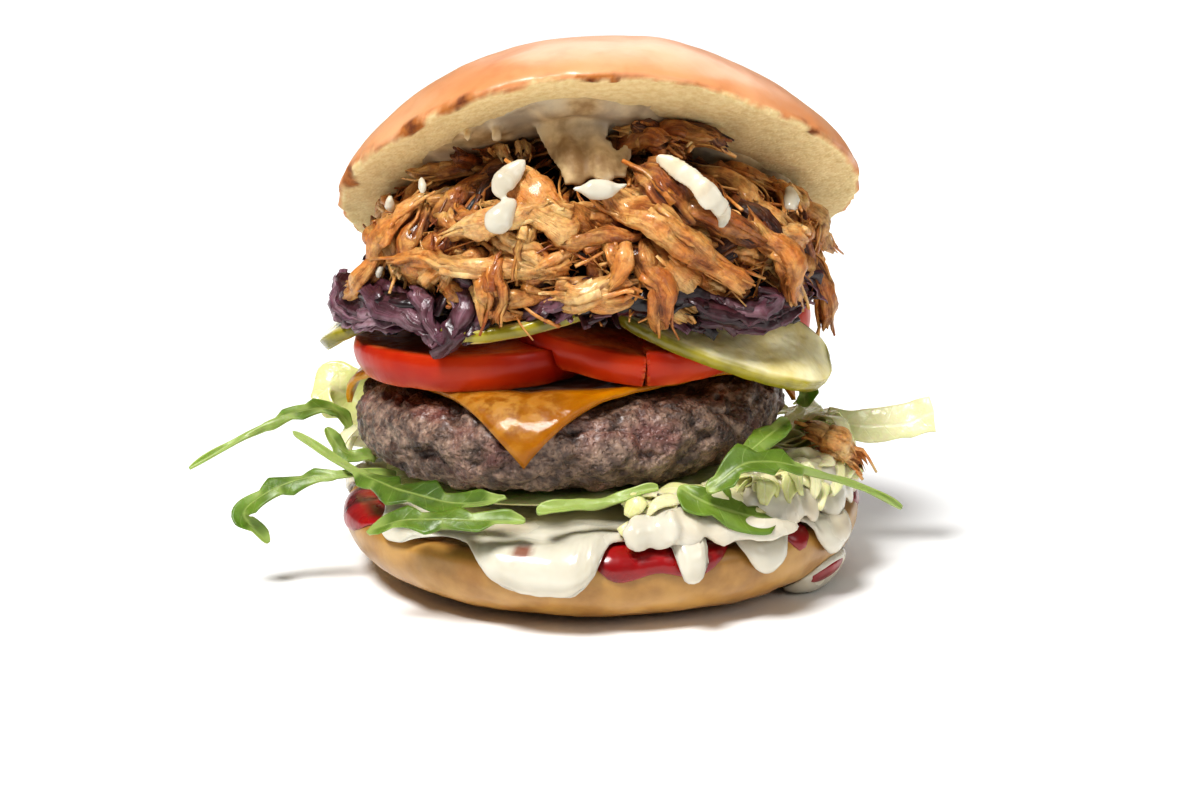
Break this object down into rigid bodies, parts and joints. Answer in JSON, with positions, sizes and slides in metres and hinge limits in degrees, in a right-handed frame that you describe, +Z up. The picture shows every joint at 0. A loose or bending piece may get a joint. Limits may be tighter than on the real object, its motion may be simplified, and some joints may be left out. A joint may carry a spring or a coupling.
{
  "type": "hamburger",
  "caption": "Tall hamburger with a tilted bun top over pulled pork, red cabbage, pickles, tomato, melted cheese, a beef patty, salad leaves and dripping sauces.",
  "frame": {"origin": "centre of the flat spot that the bottom bun rests on", "axes": "+Z up through the stack, -Y towards the front, where the top bun is propped open, +X to the right seen from the front"},
  "size_m": [0.1692, 0.123, 0.1203],
  "materials": {
    "crust": "satin baked crust, cream crumb on the cut face",
    "ketchup": "wet gloss",
    "mayo": "soft gloss",
    "beef": "rough, moist",
    "cheese": "melted gloss",
    "tomato": "wet gloss",
    "pickle": "wet gloss",
    "cabbage": "wet gloss",
    "pork": "moist, fibrous",
    "lettuce": "crisp satin",
    "rocket": "satin leaf"
  },
  "bodies": {
    "root": {"bun_bottom": "crust", "bun_top": "crust", "ketchup": "ketchup", "mayo_bottom": "mayo", "mayo_top": "mayo", "sauce_drip": "mayo", "patty": "beef", "cheese": "cheese", "tomato_left": "tomato", "tomato_middle": "tomato", "tomato_right": "tomato", "tomato_back": "tomato", "tomato_bit": "tomato", "pickle_left": "pickle", "pickle_centre": "pickle", "pickle_right": "pickle", "cabbage": "cabbage", "pork": "pork", "pork_bit": "pork", "lettuce_bed": "lettuce", "lettuce_left": "lettuce", "lettuce_right": "lettuce", "rocket_stem_left": "rocket", "rocket_low_left": "rocket", "rocket_small_left": "rocket", "rocket_front_left": "rocket", "rocket_pointed": "rocket", "rocket_stem_front": "rocket", "rocket_broad": "rocket", "rocket_right": "rocket", "rocket_dark": "rocket", "rocket_back_right": "rocket"}
  },
  "joints": []
}
